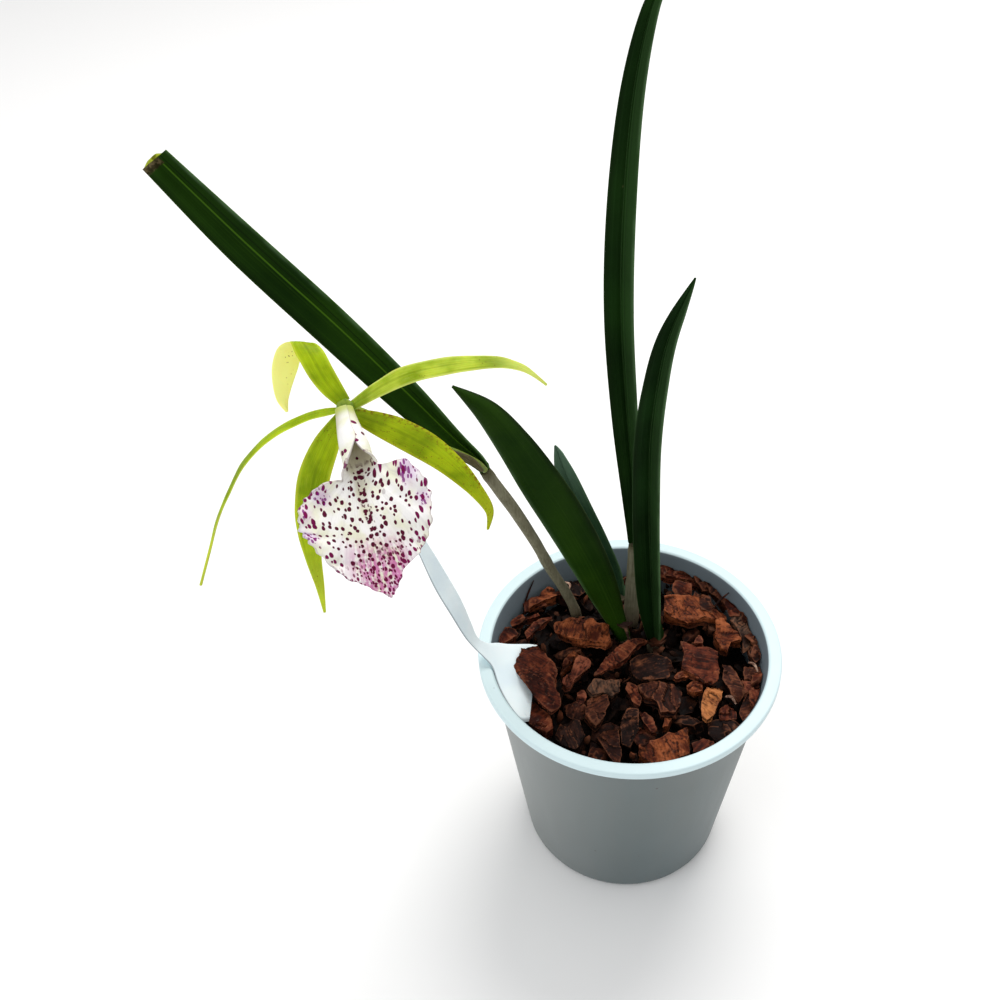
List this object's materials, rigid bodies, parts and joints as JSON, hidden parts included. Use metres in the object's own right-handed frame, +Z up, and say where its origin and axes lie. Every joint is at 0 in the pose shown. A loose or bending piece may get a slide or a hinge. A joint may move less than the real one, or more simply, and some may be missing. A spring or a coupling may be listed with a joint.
{
  "type": "potted orchid",
  "caption": "Potted orchid: a grey-blue nursery pot of bark chips, narrow dark leaves on sheathed canes, and one green star-shaped flower with a white, purple-spotted heart-shaped lip",
  "frame": {"origin": "middle of the pot's flat underside, on the ground plane", "axes": "+Z up the pot and along the tallest leaf; -Y is the plant's front, which the picture shows from above; +X to the viewer's right, away from the flower"},
  "size_m": [0.1826, 0.105, 0.3177],
  "materials": {
    "pot_plastic": "satin",
    "bark": "matte",
    "rhizome_skin": "matte",
    "cane_sheath": "matte",
    "dry_sheath": "matte",
    "leaf_green": "satin",
    "tepal_green": "satin",
    "lip_white": "satin",
    "label_white": "satin"
  },
  "bodies": {
    "root": {"pot": "pot_plastic", "bark": "bark", "rhizome": "rhizome_skin", "cane_a": "cane_sheath", "cane_b": "cane_sheath", "cane_c": "cane_sheath", "cane_d": "cane_sheath", "cane_e": "cane_sheath", "leaf_a": "leaf_green", "leaf_b": "leaf_green", "leaf_c": "leaf_green", "leaf_d": "leaf_green", "leaf_e": "leaf_green", "flower_sheath": "dry_sheath", "flower_stalk": "tepal_green", "sepal_dorsal": "tepal_green", "sepal_left": "tepal_green", "sepal_right": "tepal_green", "petal_left": "tepal_green", "petal_right": "tepal_green", "column": "lip_white", "lip": "lip_white", "label": "label_white"}
  },
  "joints": []
}
